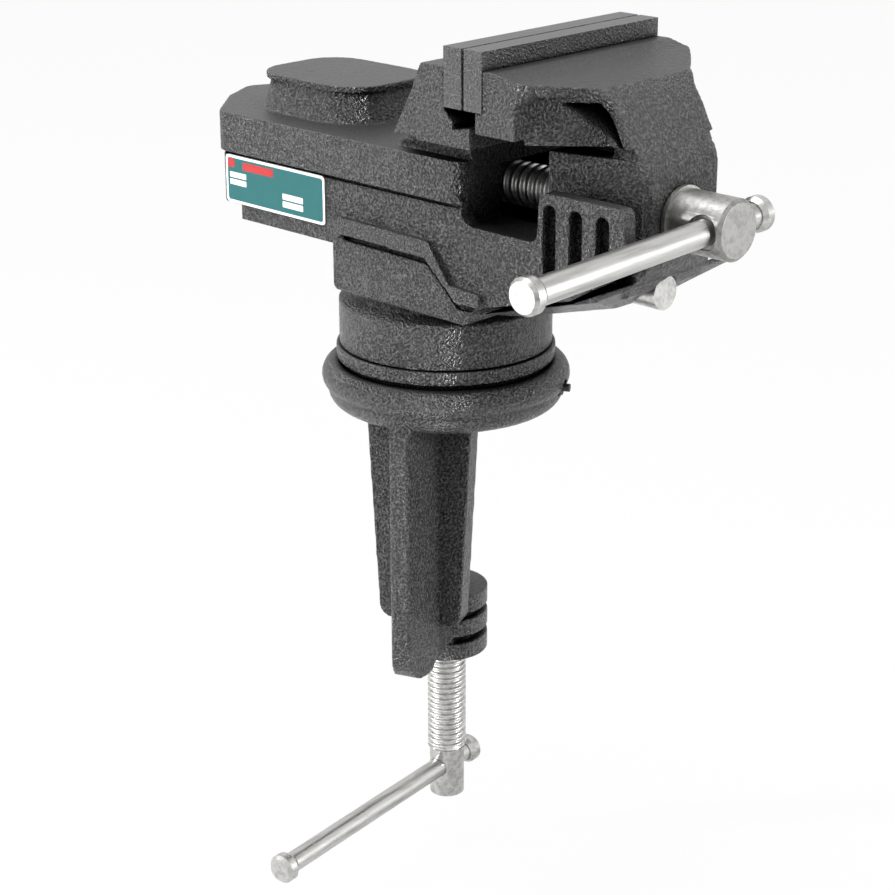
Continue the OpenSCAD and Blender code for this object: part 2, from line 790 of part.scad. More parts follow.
module fixed_jaw_screws() color(black_steel_colour) plate_screws(jaw_face_x, -90);

module moving_jaw_screws() color(black_steel_colour) plate_screws(jaw_face_x + jaw_gap, 90);

module spindle_nut() color(steel_colour) difference() {
    rod_x(nut_d, nut_rear_x, nut_front_x, spindle_z);
    rod_x(spindle_d + 2 * running_clearance, nut_rear_x - 1, nut_front_x + 1, spindle_z);
    nut_pin_shape(body_half);
}

module spindle_nut_pin() color(steel_colour) nut_pin_shape(body_half - parting_step);

module guide_rod() color(steel_colour) difference() {
    rod_x(rod_d, rod_rear_x, rod_front_x, rod_z);
    translate([rod_pin_x, 0, rod_z - rod_d]) cylinder(d = rod_pin_d, h = 2 * rod_d);
}

module guide_rod_pin() color(steel_colour)
    translate([rod_pin_x, 0, keel_middle_z - 0.5]) cylinder(d = rod_pin_d, h = rod_z + 3 - keel_middle_z);

module spindle() color(steel_colour) difference() {
    union() {
        rod_x(spindle_d, spindle_tip_x, ring_x - 0.5, spindle_z);
        rod_x(shank_d, ring_x - 1, head_x + 1, spindle_z);
        rod_x(head_d, head_x, head_x + head_length - head_bevel, spindle_z);
        translate([head_x + head_length - head_bevel, 0, spindle_z]) rotate([0, 90, 0])
            cylinder(d1 = head_d, d2 = head_d - 2 * head_bevel, h = head_bevel);
    }
    translate([bar_hole_x, 0, spindle_z]) rotate([90 + bar_tilt, 0, 0]) {
        cylinder(d = bar_d + 2 * running_clearance, h = head_d + 4, center = true);
        for (end = [0, 1])
            mirror([0, 0, end]) translate([0, 0, head_d / 2 - bar_mouth_depth])
                cylinder(d = bar_mouth_d, h = bar_mouth_depth + 2);
    }
}

module spindle_washer() color(steel_colour) difference() {
    rod_x(spindle_washer_d, nose_front_x, head_x, spindle_z);
    rod_x(shank_d + 2 * running_clearance, nose_front_x - 1, head_x + 1, spindle_z);
}

module spindle_retaining_ring() color(steel_colour) difference() {
    rod_x(ring_d, ring_x, ring_x + ring_width, spindle_z);
    rod_x(shank_d, ring_x - 1, ring_x + ring_width + 1, spindle_z);
}

// A sliding bar along Z: its far end stands above the origin by reach, its near end below
module bar_shaft(d, reach) {
    translate([0, 0, reach - bar_length + bar_end_length]) cylinder(d = d, h = bar_length - 2 * bar_end_length);
    for (end_z = [reach - bar_length + bar_end_length, reach - bar_end_length])
        translate([0, 0, end_z - bar_stub_length]) cylinder(d = d * 0.6, h = 2 * bar_stub_length);
}

// The flared end of a bar, on the outer side of the given place
module bar_end(d, place, way) {
    translate([0, 0, place]) mirror([0, 0, way < 0 ? 1 : 0]) difference() {
        union() {
            cylinder(d1 = d + 0.6, d2 = d + bar_end_grow, h = 1.2);
            translate([0, 0, 1.2]) cylinder(d = d + bar_end_grow, h = bar_end_length - 2);
            translate([0, 0, bar_end_length - 0.8]) cylinder(d1 = d + bar_end_grow, d2 = d + 0.8, h = 0.8);
        }
        translate([0, 0, -cut_over]) cylinder(d = d * 0.6, h = bar_stub_length + cut_over);
    }
}

// Puts its children along the spindle's bar: +Z there points across the vise to the far side
module on_spindle_bar() {
    translate([bar_hole_x, 0, spindle_z]) rotate([-90 + bar_tilt, 0, 0]) children();
}

module on_clamp_bar() {
    translate([0, 0, clamp_bar_z]) rotate([0, 0, clamp_bar_turn]) rotate([0, 90, 0]) children();
}

module spindle_bar() color(steel_colour) on_spindle_bar() bar_shaft(bar_d, bar_far_reach);

module spindle_bar_near_end() color(steel_colour)
    on_spindle_bar() bar_end(bar_d, bar_far_reach - bar_length + bar_end_length, -1);

module spindle_bar_far_end() color(steel_colour)
    on_spindle_bar() bar_end(bar_d, bar_far_reach - bar_end_length, 1);

module clamp_bar() color(steel_colour) on_clamp_bar() bar_shaft(clamp_bar_d, clamp_bar_far_reach);

module clamp_bar_near_end() color(steel_colour)
    on_clamp_bar() bar_end(clamp_bar_d, clamp_bar_far_reach - bar_length + bar_end_length, -1);

module clamp_bar_far_end() color(steel_colour)
    on_clamp_bar() bar_end(clamp_bar_d, clamp_bar_far_reach - bar_end_length, 1);

module swivel_friction_ring() color(black_steel_colour)
    translate([0, 0, seam_z - friction_ring_thickness / 2]) difference() {
        cylinder(r = friction_ring_out_r - 0.2, h = friction_ring_thickness - 0.1);
        translate([0, 0, -1]) cylinder(r = friction_ring_in_r + 0.2, h = 3);
    }

module swivel_plate() color(steel_colour) difference() {
    translate([0, 0, swivel_plate_z]) cylinder(d = swivel_plate_d, h = swivel_plate_thickness);
    translate([0, 0, -1]) cylinder(d = swivel_bolt_d + 0.4, h = 6);
    translate([0, 0, swivel_plate_z - cut_over]) cylinder(d = swivel_bolt_head_d + 0.4, h = 2 + cut_over);
}

module swivel_bolt() color(black_steel_colour) difference() {
    union() {
        translate([0, 0, swivel_plate_z]) cylinder(d = swivel_bolt_head_d, h = 2);
        translate([0, 0, 1]) cylinder(d = swivel_bolt_d, h = swivel_bolt_top_z - 1);
    }
    translate([0, 0, -1]) cylinder(d = hex_key_d, h = 4.4, $fn = 6);
}

module swivel_lock_screw() color(black_steel_colour)
    rotate([0, 0, lock_screw_turn]) {
        rod_x(lock_screw_d, spigot_d / 2 + 0.1, lock_screw_end_r, lock_screw_z);
        rod_x(lock_nub_d, lock_screw_end_r - 1, lock_nub_end_r, lock_screw_z);
    }

// Side view of the arm's flange, seen along the throat
module flange_outline() {
    rounded(arm_corner) polygon([
        [-arm_half_top, arm_top_z], [arm_half_top, arm_top_z], [arm_half_foot, flange_bottom_z],
        [-arm_half_foot, flange_bottom_z]
    ]);
}

// Side view of the rib, seen from beside the arm
module rib_outline() {
    rounded(arm_corner) polygon([
        [-rib_nose + rib_top_setback, arm_top_z], [-rib_nose, -1.5], [-rib_nose, flange_bottom_z - 1.3],
        [-rib_nose + 1.3, rib_bottom_z + arm_corner], [-rib_nose + rib_top_setback, rib_bottom_z],
        [-boss_r - rib_top_setback * 2, rib_bottom_z], [-flange_front, rib_bottom_z + rib_top_setback],
        [-throat_depth, boss_top_z - arm_top_z], [-throat_depth, arm_top_z]
    ]);
}

module rib_plan() {
    rounded(1.2) polygon([
        [-rib_root_half, -throat_depth], [-rib_root_half, -flange_front], [-rib_nose_half, -rib_nose],
        [rib_nose_half, -rib_nose], [rib_root_half, -flange_front], [rib_root_half, -throat_depth]
    ]);
}

module arm() {
    rotate([90, 0, 0]) translate([0, 0, throat_depth])
        linear_extrude(flange_front - throat_depth) flange_outline();
    intersection() {
        translate([0, 0, rib_bottom_z - 1]) linear_extrude(arm_top_z - rib_bottom_z + 2) rib_plan();
        rotate([90, 0, 90]) translate([0, 0, -arm_half_foot]) linear_extrude(2 * arm_half_foot) rib_outline();
    }
}

module threaded_boss() {
    translate([0, 0, boss_bottom_z]) cylinder(r = boss_r - boss_groove_depth, h = boss_top_z - boss_bottom_z);
    for (i = [0 : boss_rings - 1])
        translate([0, 0, boss_top_z - boss_ring_height - i * (boss_ring_height + boss_groove)])
            cylinder(r = boss_r, h = boss_ring_height);
    // The boss runs into the foot of the arm
    translate([-arm_half_foot + 2, -flange_front + 1, flange_bottom_z + 0.4])
        cube([2 * arm_half_foot - 4, flange_front - 1, boss_top_z - flange_bottom_z - 0.4]);
    translate([-rib_root_half, -flange_front, boss_top_z - boss_web_height])
        cube([2 * rib_root_half, flange_front - boss_web_end, boss_web_height]);
}

module ring_outline() {
    translate([ring_r - upper_roll_r, 2 * lower_roll_r - 0.4]) circle(r = upper_roll_r);
    translate([ring_r - lower_roll_inset - lower_roll_r, lower_roll_r]) circle(r = lower_roll_r);
    square([ring_r - lower_roll_inset - lower_roll_r, seam_z - 0.1]);
    translate([0, lip_bottom_z]) square([lip_r, seam_z - 0.4 - lip_bottom_z]);
    translate([0, lip_bottom_z]) square([lip_r - 0.3, seam_z - 0.1 - lip_bottom_z]);
}

module clamp_frame() color(cast_colour) difference() {
    union() {
        rotate_extrude($fn = 96) ring_outline();
        rotate([0, 0, clamp_turn]) arm();
        rotate([0, 0, clamp_turn]) threaded_boss();
    }
    translate([0, 0, -1]) cylinder(d = spigot_d + 2 * running_clearance, h = seam_z + 3);
    translate([0, 0, -0.2]) cylinder(d = swivel_plate_d + 0.8, h = counterbore_top_z + 0.2);
    translate([0, 0, boss_bottom_z - 1]) cylinder(d = clamp_screw_d + 2 * running_clearance, h = 25);
    rotate([0, 0, lock_screw_turn]) rod_x(lock_screw_d, spigot_d / 2 - 1, ring_r + 2, lock_screw_z);
    translate([0, 0, seam_z - friction_ring_thickness / 2]) difference() {
        cylinder(r = friction_ring_out_r, h = friction_ring_thickness);
        translate([0, 0, -1]) cylinder(r = friction_ring_in_r, h = 3);
    }
}

module clamp_screw() color(steel_colour) difference() {
    union() {
        translate([0, 0, clamp_hub_top_z]) cylinder(d = clamp_screw_d, h = shoulder_z - clamp_hub_top_z);
        translate([0, 0, clamp_hub_bottom_z])
            cylinder(d = clamp_hub_d, h = clamp_hub_top_z - clamp_hub_bottom_z + 1);
        translate([0, 0, shoulder_z - 1]) cylinder(d = pad_tenon_d, h = pad_tenon_length + 1);
    }
    translate([0, 0, clamp_bar_z]) rotate([0, 0, clamp_bar_turn]) rotate([0, 90, 0])
        cylinder(d = clamp_bar_d + 2 * running_clearance, h = clamp_hub_d + 4, center = true);
}

module clamp_pad() color(steel_colour) difference() {
    translate([0, 0, pad_top_z - pad_thickness]) cylinder(d = pad_d, h = pad_thickness);
    translate([0, 0, shoulder_z - 1])
        cylinder(d = pad_tenon_d + 2 * running_clearance, h = pad_tenon_length + 1);
}

module clamp_pad_washer() color(black_steel_colour)
    translate([0, 0, pad_top_z - pad_thickness - pad_washer_thickness]) difference() {
        cylinder(d = pad_d - 1, h = pad_washer_thickness);
        translate([0, 0, -1]) cylinder(d = pad_tenon_d + 2 * running_clearance, h = 3);
    }

clamp_frame();
swivel_friction_ring();
swivel_plate();
swivel_bolt();
swivel_lock_screw();
body_casting();
fixed_jaw_plate();
fixed_jaw_screws();
spindle_nut();
spindle_nut_pin();
moving_jaw_casting();
moving_jaw_plate();
moving_jaw_screws();
guide_rod();
guide_rod_pin();
spindle();
spindle_washer();
spindle_retaining_ring();
spindle_bar();
spindle_bar_near_end();
spindle_bar_far_end();
clamp_screw();
clamp_pad();
clamp_pad_washer();
clamp_bar();
clamp_bar_near_end();
clamp_bar_far_end();
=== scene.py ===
# Looks of the swivel table vise: cast iron skin, cut threads, turned steel and a plain sticker,
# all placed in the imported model's own frame, in metres.
import math

import bmesh
import bpy
from mathutils import Matrix, Vector


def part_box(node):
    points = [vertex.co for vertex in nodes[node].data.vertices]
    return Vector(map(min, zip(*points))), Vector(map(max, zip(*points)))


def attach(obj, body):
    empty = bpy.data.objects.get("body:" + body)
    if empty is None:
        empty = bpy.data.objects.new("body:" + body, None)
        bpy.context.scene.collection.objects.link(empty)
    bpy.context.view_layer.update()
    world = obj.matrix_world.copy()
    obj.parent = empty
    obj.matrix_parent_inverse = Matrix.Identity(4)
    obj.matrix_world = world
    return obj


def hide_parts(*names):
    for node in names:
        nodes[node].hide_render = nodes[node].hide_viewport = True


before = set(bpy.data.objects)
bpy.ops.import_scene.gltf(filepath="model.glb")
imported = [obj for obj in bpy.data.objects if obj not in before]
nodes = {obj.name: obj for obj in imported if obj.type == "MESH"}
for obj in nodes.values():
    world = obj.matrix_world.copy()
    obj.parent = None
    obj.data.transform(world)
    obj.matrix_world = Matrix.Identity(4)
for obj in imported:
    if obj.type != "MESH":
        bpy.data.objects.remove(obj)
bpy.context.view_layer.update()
scene = bpy.context.scene
MM = 0.001
WELD_REACH = 1e-6
PHOTO_PIXELS = 895


# Materials

def new_material(name):
    """A bare material, its node tree, its shader and the object's coordinates."""
    material = bpy.data.materials.new(name)
    material.use_nodes = True
    tree = material.node_tree
    tree.nodes.clear()
    out = tree.nodes.new("ShaderNodeOutputMaterial")
    shader = tree.nodes.new("ShaderNodeBsdfPrincipled")
    tree.links.new(shader.outputs["BSDF"], out.inputs["Surface"])
    place = tree.nodes.new("ShaderNodeTexCoord").outputs["Object"]
    return material, tree, shader, place


def noise(tree, place, size_mm, detail=2.0, roughness=0.5):
    """Noise whose lumps are about size_mm across."""
    node = tree.nodes.new("ShaderNodeTexNoise")
    tree.links.new(place, node.inputs["Vector"])
    node.inputs["Scale"].default_value = 1 / (size_mm * MM)
    node.inputs["Detail"].default_value = detail
    node.inputs["Roughness"].default_value = roughness
    return node.outputs["Fac"]


def ramp(tree, value, stops):
    """A colour ramp; each stop is a place and a grey level or a colour."""
    node = tree.nodes.new("ShaderNodeValToRGB")
    tree.links.new(value, node.inputs["Fac"])
    marks = node.color_ramp.elements
    while len(marks) < len(stops):
        marks.new(0.5)
    for mark, (at, colour) in zip(marks, stops):
        mark.position = at
        mark.color = (*colour, 1) if isinstance(colour, tuple) else (colour, colour, colour, 1)
    return node.outputs["Color"]


def mixed(tree, share, low, high):
    """low where share is 0 and high where it is 1."""
    node = tree.nodes.new("ShaderNodeMix")
    node.data_type = "RGBA"
    tree.links.new(share, node.inputs["Factor"])
    for socket, value in ((node.inputs["A"], low), (node.inputs["B"], high)):
        if isinstance(value, tuple):
            socket.default_value = (*value, 1)
        else:
            tree.links.new(value, socket)
    return node.outputs["Result"]


def bumped(tree, shader, height, depth_mm, strength, under=None):
    """Relief from a height; strength is a number or a socket, and under is a relief it lies on."""
    node = tree.nodes.new("ShaderNodeBump")
    if isinstance(strength, float):
        node.inputs["Strength"].default_value = strength
    else:
        tree.links.new(strength, node.inputs["Strength"])
    node.inputs["Distance"].default_value = depth_mm * MM
    tree.links.new(height, node.inputs["Height"])
    if under is not None:
        tree.links.new(under, node.inputs["Normal"])
    tree.links.new(node.outputs["Normal"], shader.inputs["Normal"])
    return node.outputs["Normal"]


def upward(tree, start, end):
    """0 to 1 as the upward share of a face's normal goes from start to end."""
    coordinates = tree.nodes.new("ShaderNodeTexCoord")
    split = tree.nodes.new("ShaderNodeSeparateXYZ")
    tree.links.new(coordinates.outputs["Normal"], split.inputs[0])
    return ramp(tree, split.outputs["Z"], [(start, 0.0), (end, 1.0)])


def multiplied(tree, first, second):
    """The product of two values, each a number or a socket."""
    node = tree.nodes.new("ShaderNodeMath")
    node.operation = "MULTIPLY"
    for socket, value in zip(node.inputs, (first, second)):
        if isinstance(value, float):
            socket.default_value = value
        else:
            tree.links.new(value, socket)
    return node.outputs[0]


def hollows(tree, reach_mm, shut, clear):
    """0 in grooves and inner corners and 1 on open faces."""
    node = tree.nodes.new("ShaderNodeAmbientOcclusion")
    node.samples = 8
    node.inputs["Distance"].default_value = reach_mm * MM
    return ramp(tree, node.outputs["AO"], [(shut, 0.0), (clear, 1.0)])


def cast_paint(name, grain_mm=0.6, grain_depth=2.0, base=0.022, top=0.018, speck=0.09, edge_glint=0.07):
    """Black satin paint over sand-cast iron.

    Its grains are glossy and their paler specks a painted highlight, its tops smoother and given
    their own colour as a painted tone for the light on them, its edges lightened by a painted
    highlight and its hollows darkened by painted shade.
    """
    material, tree, shader, place = new_material(name)
    grain = noise(tree, place, grain_mm)
    patch = noise(tree, place, 9.0, 4.0, 0.6)
    tops = upward(tree, 0.35, 1.0)
    edge = tree.nodes.new("ShaderNodeNewGeometry").outputs["Pointiness"]
    # Ambient occlusion at 2.4 mm and 30 mm reach: 0 in hollows, inner corners and faces under and
    # between parts, 1 on open faces.
    open_face = multiplied(tree, hollows(tree, 2.4, 0.4, 0.8), hollows(tree, 30.0, 0.1, 0.8))
    # Upward faces take the top colour in place of base: a painted tone for how light falls on tops.
    dark = ramp(tree, patch, [(0.3, base * 0.7), (0.7, base * 1.4)])
    pale = ramp(tree, patch, [(0.3, top * 0.85), (0.7, top * 1.2)])
    colour = mixed(tree, tops, dark, pale)
    # Grains on the sides take a paler speck colour that fades on tops: a painted highlight for the
    # sparkle of glossy grains.
    specks = ramp(tree, grain, [(0.4, 0.0), (0.52, 0.4), (0.62, 1.0)])
    side_specks = multiplied(tree, specks, ramp(tree, tops, [(0.0, 1.0), (0.8, 0.6), (1.0, 0.15)]))
    colour = mixed(tree, side_specks, colour, (speck, speck, speck * 1.01))
    # Sharp convex edges turn paler: a painted highlight.
    colour = mixed(tree, ramp(tree, edge, [(0.52, 0.0), (0.58, 1.0)]), colour, (edge_glint, edge_glint, edge_glint))
    # Painted shade: hollows and faces under or between parts go nearly black and lose most of their
    # gloss.
    hollow_painted_shade = (0.003, 0.003, 0.003)
    tree.links.new(mixed(tree, open_face, hollow_painted_shade, colour), shader.inputs["Base Color"])
    gloss = multiplied(tree, ramp(tree, side_specks, [(0.0, 0.5), (1.0, 1.0)]), open_face)
    tree.links.new(gloss, shader.inputs["Specular IOR Level"])
    tree.links.new(ramp(tree, tops, [(0.0, 0.18), (1.0, 0.42)]), shader.inputs["Roughness"])
    relief = ramp(tree, tops, [(0.0, 1.0), (0.8, 0.8), (1.0, 0.2)])
    bumped(tree, shader, grain, grain_depth, relief)
    return material


def plated_steel(name, colour=(0.54, 0.535, 0.52), roughness=(0.26, 0.4), streak=None):
    """Bright zinc over steel, a little cloudy; streak draws the cloud out along X, Y or Z."""
    material, tree, shader, place = new_material(name)
    drawn = tree.nodes.new("ShaderNodeMapping")
    drawn.inputs["Scale"].default_value = [0.06 if streak == axis else 1.0 for axis in "XYZ"]
    tree.links.new(place, drawn.inputs["Vector"])
    cloud = noise(tree, drawn.outputs["Vector"], 1.6, 4.0, 0.65)
    speckle = noise(tree, place, 0.35, 2.0, 0.6)
    dull = tuple(c * 0.62 for c in colour)
    tree.links.new(mixed(tree, ramp(tree, cloud, [(0.36, 0.0), (0.58, 1.0)]), dull, colour),
                   shader.inputs["Base Color"])
    tree.links.new(ramp(tree, cloud, [(0.3, roughness[1]), (0.7, roughness[0])]),
                   shader.inputs["Roughness"])
    shader.inputs["Metallic"].default_value = 1.0
    under = bumped(tree, shader, cloud, 0.05, 0.35)
    bumped(tree, shader, speckle, 0.03, 0.3, under)
    return material


def plain_coat(name, colour, roughness=0.35, grain_mm=0.8):
    """Printed or painted film: one colour with a slight mottle and a satin face."""
    material, tree, shader, place = new_material(name)
    mottle = noise(tree, place, grain_mm * 4)
    soft = tuple(c * 0.9 for c in colour)
    tree.links.new(mixed(tree, mottle, soft, colour), shader.inputs["Base Color"])
    tree.links.new(ramp(tree, mottle, [(0.3, roughness * 0.85), (0.7, roughness * 1.15)]),
                   shader.inputs["Roughness"])
    shader.inputs["Specular IOR Level"].default_value = 0.2
    bumped(tree, shader, noise(tree, place, grain_mm), 0.02, 0.15)
    return material


PAINT = cast_paint("cast_black_paint")
# Its upward faces are painted paler than its sides: a painted highlight.
JAW_STEEL = cast_paint("jaw_plate_steel", grain_depth=1.6, base=0.03, top=0.07, speck=0.12)
ZINC = plated_steel("zinc_steel")
BAR_ZINC = plated_steel("drawn_zinc_bar", streak="Y")
CLAMP_BAR_ZINC = plated_steel("drawn_zinc_clamp_bar", streak="Y")
THREAD_ZINC = plated_steel("thread_zinc", colour=(0.62, 0.615, 0.6), roughness=(0.3, 0.42))
# A brighter copy of the thread zinc: painted light that lifts the spindle thread in its shaded
# channel between the walls.
SPINDLE_LIFTED_ZINC = plated_steel("spindle_zinc_painted_light", colour=(0.88, 0.87, 0.85), roughness=(0.32, 0.45))
FACED_ZINC = plated_steel("faced_zinc", colour=(0.34, 0.336, 0.328), roughness=(0.34, 0.46))
BLACK_STEEL = plated_steel("blackened_steel", colour=(0.07, 0.07, 0.075), roughness=(0.4, 0.55))


# Pieces

def link(name, mesh, material, body):
    """Puts a mesh in the scene as a piece that rides on a body, with the material in its slot when
    one is given.
    """
    obj = bpy.data.objects.new(name, mesh)
    scene.collection.objects.link(obj)
    if material is not None:
        mesh.materials.clear()
        mesh.materials.append(material)
    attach(obj, body)
    return obj


def without(cutters):
    """The steps for changed_mesh that take each cutter out of a mesh."""
    return [("BOOLEAN", {"object": cutter, "operation": "DIFFERENCE", "solver": "EXACT"})
            for cutter in cutters]


def changed_mesh(mesh, steps):
    """The mesh after the given modifiers, each a type and its settings."""
    holder = bpy.data.objects.new("holder", mesh)
    scene.collection.objects.link(holder)
    for kind, settings in steps:
        modifier = holder.modifiers.new(kind, kind)
        for key, value in settings.items():
            setattr(modifier, key, value)
    graph = bpy.context.evaluated_depsgraph_get()
    result = bpy.data.meshes.new_from_object(holder.evaluated_get(graph))
    bpy.data.objects.remove(holder)
    return result


def groove_cutter(path, half_width, outer_y, inner_y):
    """A bar that follows a path of (x, z) points in millimetres, between two planes across y."""
    points = [Vector(point) for point in path]
    ways = [(after - before).normalized() for before, after in zip(points, points[1:])]
    rows = []
    for point, before, after in zip(points, ways[:1] + ways, ways + ways[-1:]):
        way = (before + after).normalized()
        off = Vector((-way.y, way.x)) * (half_width / max(0.5, way.dot(before)))
        corners = ((point - off, outer_y), (point + off, outer_y),
                   (point + off, inner_y), (point - off, inner_y))
        rows.append([(spot.x * MM, y * MM, spot.y * MM) for spot, y in corners])
    form = bmesh.new()
    rings = [[form.verts.new(place) for place in row] for row in rows]
    for low, high in zip(rings, rings[1:]):
        for k in range(4):
            after = (k + 1) % 4
            form.faces.new((low[k], low[after], high[after], high[k]))
    form.faces.new(reversed(rings[0]))
    form.faces.new(rings[-1])
    bmesh.ops.recalc_face_normals(form, faces=form.faces)
    mesh = bpy.data.meshes.new("groove_cutter")
    form.to_mesh(mesh)
    form.free()
    cutter = bpy.data.objects.new("groove_cutter", mesh)
    scene.collection.objects.link(cutter)
    return cutter


def cast_skin(node, name, body, voxel_mm, lump_mm=1.3, lump_depth_mm=0.09, cutters=()):
    """Stands for a cast node: its mesh with rounded edges and the uneven face of a sand mould.

    The cutters are taken out of it first.
    """
    lumps = bpy.data.textures.new(name + "_lumps", "CLOUDS")
    lumps.noise_scale = lump_mm * MM
    lumps.noise_depth = 2
    mesh = changed_mesh(nodes[node].data.copy(), [
        ("WELD", {"merge_threshold": WELD_REACH}),
        *without(cutters),
        ("REMESH", {"mode": "VOXEL", "voxel_size": voxel_mm * MM, "use_smooth_shade": True}),
        ("SMOOTH", {"factor": 0.5, "iterations": 1}),
        ("DISPLACE", {"texture": lumps, "strength": lump_depth_mm * MM, "mid_level": 1.0,
                      "texture_coords": "LOCAL"}),
    ])
    for cutter in cutters:
        bpy.data.objects.remove(cutter)
    piece = link(name, mesh, PAINT, body)
    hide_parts(node)


def revolved(name, start, axis, stations, radius, segments=64):
    """A solid of revolution whose radius depends on the place along the axis and on the angle."""
    axis = Vector(axis).normalized()
    side = axis.orthogonal().normalized()
    up = axis.cross(side)
    form = bmesh.new()
    rings = []
    for place in stations:
        ring = []
        for k in range(segments):
            angle = 2 * math.pi * k / segments
            r = radius(place, angle)
            ring.append(form.verts.new(Vector(start) + axis * place
                                       + side * (r * math.cos(angle)) + up * (r * math.sin(angle))))
        rings.append(ring)
    for low, high in zip(rings, rings[1:]):
        for k in range(segments):
            after = (k + 1) % segments
            form.faces.new((low[k], low[after], high[after], high[k]))
    form.faces.new(reversed(rings[0]))
    form.faces.new(rings[-1])
    mesh = bpy.data.meshes.new(name)
    form.to_mesh(mesh)
    form.free()
    mesh.shade_smooth()
    return mesh


def thread_radius(outer, depth, lead, begin, end, crest=0.3, root=0.2):
    """Radius of a right-hand thread with eased flanks that runs out at both ends."""
    flank = (1 - crest - root) / 2
    fade, tip = lead * 0.6, lead * 0.3

    def radius(place, angle):
        phase = (place / lead - angle / (2 * math.pi)) % 1
        if phase < crest:
            cut = 0.0
        elif phase < crest + flank:
            cut = (phase - crest) / flank
        elif phase < crest + flank + root:
            cut = 1.0
        else:
            cut = (1 - phase) / flank
        eased = cut * cut * (3 - 2 * cut)
        runout = max(0.0, min(1, (place - begin) / fade, (end - place) / fade))
        point = max(0.0, 1 - (place - begin) / tip)
        return outer - depth * (eased * runout + 0.5 * point)

    return radius


def spaced(begin, end, step):
    """Places from begin to end, as near to one step apart as divides the length evenly."""
    count = max(1, round((end - begin) / step))
    return [begin + (end - begin) * i / count for i in range(count + 1)]


def kept_side(node, point, normal):
    """A copy of a node's mesh, cut by a plane: what lies on the normal's side stays, closed."""
    form = bmesh.new()
    form.from_mesh(nodes[node].data)
    bmesh.ops.remove_doubles(form, verts=form.verts, dist=WELD_REACH)
    cut = bmesh.ops.bisect_plane(form, geom=form.verts[:] + form.edges[:] + form.faces[:],
                                 plane_co=point, plane_no=normal, clear_inner=True)
    edges = [e for e in cut["geom_cut"] if isinstance(e, bmesh.types.BMEdge)]
    bmesh.ops.holes_fill(form, edges=edges)
    mesh = bpy.data.meshes.new(node + "_part")
    form.to_mesh(mesh)
    form.free()
    return mesh


def beveled(mesh, width_mm, segments=3):
    """The mesh with its sharp edges rounded."""
    return changed_mesh(mesh, [
        ("WELD", {"merge_threshold": WELD_REACH}),
        ("BEVEL", {"width": width_mm * MM, "segments": segments, "limit_method": "ANGLE",
                   "angle_limit": math.radians(35), "harden_normals": False}),
        ("WEIGHTED_NORMAL", {"keep_sharp": True}),
    ])


# The three castings, and the dark line at the foot of the body's raised bands
CAST_VOXEL_MM = 0.36
GROOVE_HALF_WIDTH = 0.85
GROOVE_OUTER_Y = 26.2
GROOVE_INNER_Y = 24.2
RIB_FOOT = ((-9.3, 44.8), (18.6, 44.2), (28.3, 35.4), (35.8, 35.6))
cast_skin("body_casting", "body_skin", "head", CAST_VOXEL_MM,
          cutters=[groove_cutter(RIB_FOOT, GROOVE_HALF_WIDTH, side * GROOVE_OUTER_Y,
                                 side * GROOVE_INNER_Y) for side in (-1, 1)])
cast_skin("moving_jaw_casting", "moving_jaw_skin", "moving_jaw", CAST_VOXEL_MM)
cast_skin("clamp_frame", "clamp_frame_skin", "base", CAST_VOXEL_MM)

# Spindle: the head stays as drawn, and the shaft gets its thread
low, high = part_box("spindle")
spindle_z = (low.z + high.z) / 2
SPINDLE_LEAD = 2.5 * MM
SPINDLE_R = 5.25 * MM
SPINDLE_THREAD_DEPTH = 0.95 * MM
THREAD_END_X = 45.7 * MM
head_mesh = beveled(kept_side("spindle", (THREAD_END_X, 0, 0), (1, 0, 0)), 0.25)
head = link("spindle_head", head_mesh, FACED_ZINC, "spindle")
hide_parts("spindle")
length = THREAD_END_X - low.x
thread_mesh = revolved(
    "spindle_thread", (low.x, 0, spindle_z), (1, 0, 0), spaced(0, length, 0.14 * MM),
    thread_radius(SPINDLE_R, SPINDLE_THREAD_DEPTH, SPINDLE_LEAD, 0, length))
thread = link("spindle_thread", thread_mesh, SPINDLE_LIFTED_ZINC, "spindle")
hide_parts("spindle")

# Clamp screw: hub and tenon stay as drawn, and the shaft gets its thread
CLAMP_PITCH = 1.5 * MM
CLAMP_R = 5.0 * MM
CLAMP_THREAD_DEPTH = 0.72 * MM
HUB_TOP_Z = -97.0 * MM
SHOULDER_Z = -36.2 * MM
hub_mesh = beveled(kept_side("clamp_screw", (0, 0, HUB_TOP_Z + 0.02 * MM), (0, 0, -1)), 0.5)
hub = link("clamp_screw_hub", hub_mesh, ZINC, "clamp_screw")
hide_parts("clamp_screw")
tenon_mesh = kept_side("clamp_screw", (0, 0, SHOULDER_Z), (0, 0, 1))
tenon = link("clamp_screw_tenon", tenon_mesh, ZINC, "clamp_screw")
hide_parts("clamp_screw")
length = SHOULDER_Z - HUB_TOP_Z
thread_mesh = revolved(
    "clamp_screw_thread", (0, 0, HUB_TOP_Z), (0, 0, 1), spaced(0, length, 0.1 * MM),
    thread_radius(CLAMP_R, CLAMP_THREAD_DEPTH, CLAMP_PITCH, 0, length, crest=0.22, root=0.16))
thread = link("clamp_screw_thread", thread_mesh, THREAD_ZINC, "clamp_screw")
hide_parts("clamp_screw")

# Jaw plates: where their screws sit, and each bore's radius and depth
PLATE_SCREW_Y = 18.0 * MM
PLATE_SCREW_Z = 86.8 * MM
PLATE_BORES_MM = ((4.0, 2.2), (2.2, 9.0))


